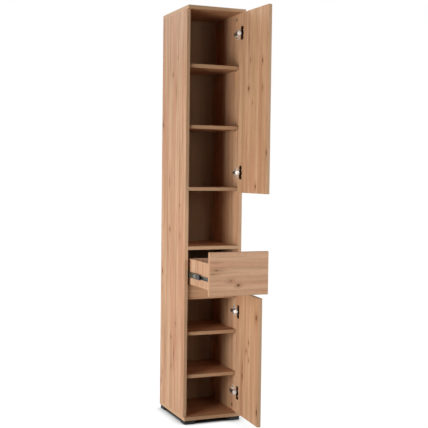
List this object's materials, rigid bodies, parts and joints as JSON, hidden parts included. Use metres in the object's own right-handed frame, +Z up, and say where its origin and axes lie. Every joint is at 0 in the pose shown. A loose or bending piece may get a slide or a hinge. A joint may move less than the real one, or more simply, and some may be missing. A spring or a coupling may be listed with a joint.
{
  "type": "tall bathroom cabinet",
  "caption": "Tall narrow bathroom cabinet in oak decor board with hinged doors, an open niche, inner shelves and a drawer on ball-bearing runners.",
  "frame": {"origin": "on the floor under the centre of the carcass, top board and bottom board included", "axes": "+Z up; -Y towards the user, the side that opens; +X to the right as seen from the front, the hinge side"},
  "size_m": [0.2868, 0.621, 1.938],
  "materials": {
    "side_board": "oak decor laminate, upright grain, satin",
    "level_board": "oak decor laminate, grain across the width, satin",
    "door_board": "oak decor laminate, upright grain, satin",
    "drawer_front_board": "oak decor laminate, level grain, satin",
    "drawer_box_board": "plain decor laminate, matt",
    "drawer_base_board": "thin hardboard, matt",
    "back_board": "thin hardboard, matt",
    "black_plastic": "moulded, matt",
    "zinc_screws": "zinc plated",
    "zinc_sheet": "zinc plated sheet",
    "cam_zinc": "die cast zinc",
    "nickel": "nickel plated",
    "nickel_pins": "nickel plated",
    "hinge_pin_steel": "drawn steel",
    "cage_steel": "pressed retainer with steel balls",
    "beech": "fluted beech",
    "bumper_rubber": "soft translucent dots"
  },
  "bodies": {
    "carcass": {"left_side": "side_board", "right_side": "side_board", "top_board": "level_board", "bottom_board": "level_board", "drawer_floor_shelf": "level_board", "drawer_floor_rail": "level_board", "drawer_roof_shelf": "level_board", "niche_roof_shelf": "level_board", "lower_loose_shelf_1": "level_board", "lower_loose_shelf_2": "level_board", "upper_loose_shelf_1": "level_board", "upper_loose_shelf_2": "level_board", "back_panel": "back_board", "foot_front_left": "black_plastic", "foot_front_right": "black_plastic", "foot_back_left": "black_plastic", "foot_back_right": "black_plastic", "foot_screws": "zinc_screws", "cam_locks": "cam_zinc", "cam_bolts": "zinc_screws", "dowels": "beech", "shelf_pins": "nickel_pins", "hinge_plate_screws": "zinc_screws", "mounting_plates": "nickel", "hinge_arms": "nickel", "arm_pins": "hinge_pin_steel", "door_bumpers": "bumper_rubber", "wall_angle": "zinc_sheet", "wall_angle_screw": "zinc_screws", "left_outer_rail": "zinc_sheet", "right_outer_rail": "zinc_sheet", "runner_screws": "zinc_screws"},
    "upper_door": {"upper_door": "door_board", "upper_hinge_cups": "nickel", "upper_cup_pins": "hinge_pin_steel", "upper_cup_screws": "zinc_screws"},
    "upper_outer_links": {"upper_outer_links": "nickel"},
    "upper_inner_links": {"upper_inner_links": "nickel"},
    "lower_door": {"lower_door": "door_board", "lower_hinge_cups": "nickel", "lower_cup_pins": "hinge_pin_steel", "lower_cup_screws": "zinc_screws"},
    "lower_outer_links": {"lower_outer_links": "nickel"},
    "lower_inner_links": {"lower_inner_links": "nickel"},
    "drawer": {"drawer_front": "drawer_front_board", "drawer_left_side": "drawer_box_board", "drawer_right_side": "drawer_box_board", "drawer_back": "drawer_box_board", "drawer_base": "drawer_base_board", "drawer_cams": "cam_zinc", "drawer_cam_bolts": "zinc_screws", "drawer_back_screws": "zinc_screws", "drawer_rail_screws": "zinc_screws", "left_inner_rail": "zinc_sheet", "right_inner_rail": "zinc_sheet"},
    "middle_rails": {"left_middle_rail": "zinc_sheet", "right_middle_rail": "zinc_sheet", "rail_stops": "black_plastic"},
    "outer_cages": {"outer_ball_cages": "cage_steel"},
    "inner_cages": {"inner_ball_cages": "cage_steel"}
  },
  "joints": [
    {"name": "upper_link_swing", "type": "hinge", "parent": "carcass", "child": "upper_outer_links", "pos_m": [0.1051, -0.1499, 1.4795], "axis": [0, 0, 1], "range_deg": [-0.89, 39.11]},
    {"name": "upper_door_swing", "type": "hinge", "parent": "upper_outer_links", "child": "upper_door", "pos_m": [0.11786, -0.17004, 1.4795], "axis": [0, 0, 1], "range_deg": [-132.06, 2.84]},
    {"name": "upper_inner_link_swing", "type": "hinge", "parent": "carcass", "child": "upper_inner_links", "pos_m": [0.1019, -0.1595, 1.4795], "axis": [0, 0, 1], "range_deg": [-0.99, 43.8]},
    {"name": "lower_link_swing", "type": "hinge", "parent": "carcass", "child": "lower_outer_links", "pos_m": [0.1051, -0.1499, 0.3225], "axis": [0, 0, 1], "range_deg": [-3.41, 36.59]},
    {"name": "lower_door_swing", "type": "hinge", "parent": "lower_outer_links", "child": "lower_door", "pos_m": [0.11873, -0.16946, 0.3225], "axis": [0, 0, 1], "range_deg": [-123.54, 11.36]},
    {"name": "lower_inner_link_swing", "type": "hinge", "parent": "carcass", "child": "lower_inner_links", "pos_m": [0.1019, -0.1595, 0.3225], "axis": [0, 0, 1], "range_deg": [-3.81, 40.98]},
    {"name": "drawer_slide", "type": "slide", "parent": "carcass", "child": "drawer", "axis": [0, -1, 0], "range_m": [-0.278, 0.022]},
    {"name": "middle_rail_slide", "type": "slide", "parent": "carcass", "child": "middle_rails", "axis": [0, -1, 0], "range_m": [-0.1395, 0.0115]},
    {"name": "outer_cage_slide", "type": "slide", "parent": "carcass", "child": "outer_cages", "axis": [0, -1, 0], "range_m": [-0.07, 0.006]},
    {"name": "inner_cage_slide", "type": "slide", "parent": "carcass", "child": "inner_cages", "axis": [0, -1, 0], "range_m": [-0.209, 0.017]}
  ],
  "couplings": [
    {"joint": "upper_link_swing", "follows": "upper_door_swing", "ratio": -0.29578},
    {"joint": "upper_inner_link_swing", "follows": "upper_door_swing", "ratio": -0.33127},
    {"joint": "lower_link_swing", "follows": "lower_door_swing", "ratio": -0.29578},
    {"joint": "lower_inner_link_swing", "follows": "lower_door_swing", "ratio": -0.33127},
    {"joint": "middle_rail_slide", "follows": "drawer_slide", "ratio": 0.5},
    {"joint": "outer_cage_slide", "follows": "drawer_slide", "ratio": 0.25},
    {"joint": "inner_cage_slide", "follows": "drawer_slide", "ratio": 0.75}
  ]
}
